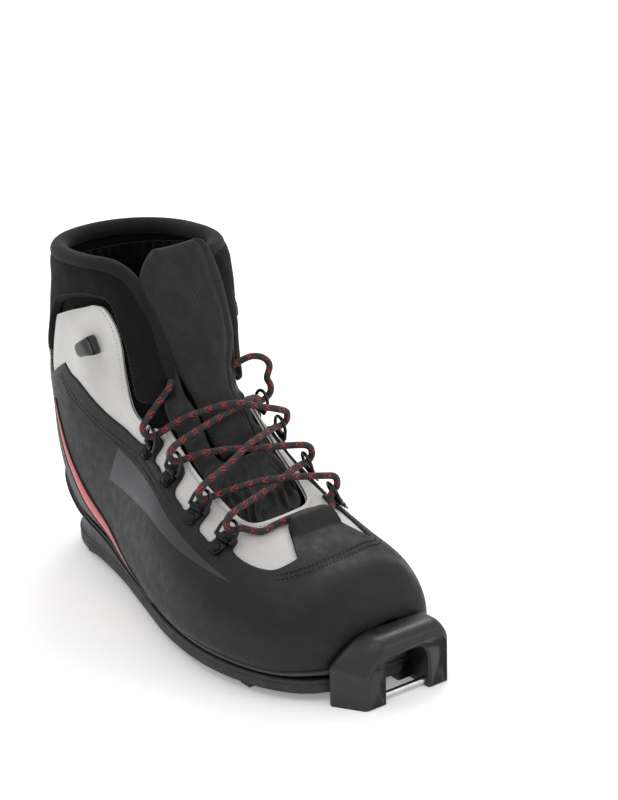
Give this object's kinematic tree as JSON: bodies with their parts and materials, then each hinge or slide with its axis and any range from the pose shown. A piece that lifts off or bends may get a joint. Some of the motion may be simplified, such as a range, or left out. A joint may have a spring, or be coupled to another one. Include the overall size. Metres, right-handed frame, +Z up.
{
  "type": "cross country boot",
  "caption": "Ankle-high lace-up boot for cross-country skiing, with a padded collar and tongue, lace rings, a grooved sole and a steel toe bar for a binding.",
  "frame": {"origin": "middle of the boot's ground box, on the ground under the sole", "axes": "+X towards the toe, +Y towards the wearer's left (the inner side of this right boot), +Z up"},
  "size_m": [0.3061, 0.125, 0.2108],
  "materials": {
    "rubber": "satin moulded rubber",
    "hard_rubber": "smooth moulded rubber",
    "black_leather": "grained synthetic leather",
    "light_leather": "smooth synthetic leather",
    "red_leather": "glossy synthetic leather",
    "dark_fabric": "woven",
    "grey_mesh": "ribbed mesh",
    "fleece": "fleece",
    "insole_foam": "felted foam",
    "board": "pressed fibre",
    "foam": "light foam",
    "stiffener": "thermoplastic sheet",
    "steel": "bright",
    "dark_steel": "dark finish",
    "gloss_black": "glossy",
    "lace_cord": "braided",
    "aglet_plastic": "clear film over the braid"
  },
  "bodies": {
    "boot": {"outsole": "rubber", "midsole": "foam", "toe_block": "hard_rubber", "toe_bar": "steel", "rand": "rubber", "heel_cup": "rubber", "lasting_board": "board", "shank": "steel", "insole": "insole_foam", "toe_puff": "stiffener", "heel_counter": "stiffener", "inner_boot": "fleece", "toe_lining": "fleece", "vamp": "black_leather", "quarter_lateral": "black_leather", "quarter_medial": "black_leather", "throat_underlay": "light_leather", "ankle_panel_lateral": "light_leather", "ankle_panel_medial": "light_leather", "heel_mesh": "grey_mesh", "stripe_lateral": "red_leather", "stripe_medial": "red_leather", "collar": "dark_fabric", "gusset": "dark_fabric", "tongue_lower": "dark_fabric", "ring_plates": "dark_steel", "ring_rivets": "dark_steel", "hook_lateral": "gloss_black", "hook_medial": "gloss_black", "hook_rivets": "dark_steel", "lace": "lace_cord", "lace_aglets": "aglet_plastic"},
    "tongue": {"tongue_upper": "dark_fabric"},
    "ring_lateral_1": {"ring_lateral_1": "steel"},
    "ring_lateral_2": {"ring_lateral_2": "steel"},
    "ring_lateral_3": {"ring_lateral_3": "steel"},
    "ring_lateral_4": {"ring_lateral_4": "steel"},
    "ring_medial_1": {"ring_medial_1": "steel"},
    "ring_medial_2": {"ring_medial_2": "steel"},
    "ring_medial_3": {"ring_medial_3": "steel"},
    "ring_medial_4": {"ring_medial_4": "steel"}
  },
  "joints": [
    {"name": "tongue_fold", "type": "hinge", "parent": "boot", "child": "tongue", "pos_m": [-0.01566, 0.01205, 0.14439], "axis": [0, 1, 0], "range_deg": [0, 20]},
    {"name": "ring_lateral_1_swing", "type": "hinge", "parent": "boot", "child": "ring_lateral_1", "pos_m": [-0.01886, -0.03218, 0.10443], "axis": [0.8923, -0.223, -0.3926], "range_deg": [-6, 5]},
    {"name": "ring_lateral_2_swing", "type": "hinge", "parent": "boot", "child": "ring_lateral_2", "pos_m": [0.00826, -0.03619, 0.0986], "axis": [0.9702, -0.006, -0.2422], "range_deg": [-6, 5]},
    {"name": "ring_lateral_3_swing", "type": "hinge", "parent": "boot", "child": "ring_lateral_3", "pos_m": [0.03615, -0.03873, 0.0862], "axis": [0.9516, 0.1537, -0.2662], "range_deg": [-6, 5]},
    {"name": "ring_lateral_4_swing", "type": "hinge", "parent": "boot", "child": "ring_lateral_4", "pos_m": [0.06042, -0.03882, 0.07645], "axis": [0.9491, 0.1613, -0.2704], "range_deg": [-6, 5]},
    {"name": "ring_medial_1_swing", "type": "hinge", "parent": "boot", "child": "ring_medial_1", "pos_m": [-0.01484, 0.04152, 0.10986], "axis": [-0.8471, 0.0736, 0.5264], "range_deg": [-6, 5]},
    {"name": "ring_medial_2_swing", "type": "hinge", "parent": "boot", "child": "ring_medial_2", "pos_m": [0.00945, 0.03807, 0.10175], "axis": [-0.9373, 0.1266, 0.3247], "range_deg": [-6, 5]},
    {"name": "ring_medial_3_swing", "type": "hinge", "parent": "boot", "child": "ring_medial_3", "pos_m": [0.03623, 0.03809, 0.08814], "axis": [-0.9575, 0.1795, 0.2257], "range_deg": [-6, 5]},
    {"name": "ring_medial_4_swing", "type": "hinge", "parent": "boot", "child": "ring_medial_4", "pos_m": [0.06023, 0.03892, 0.07809], "axis": [-0.9697, 0.1591, 0.1853], "range_deg": [-6, 5]}
  ]
}
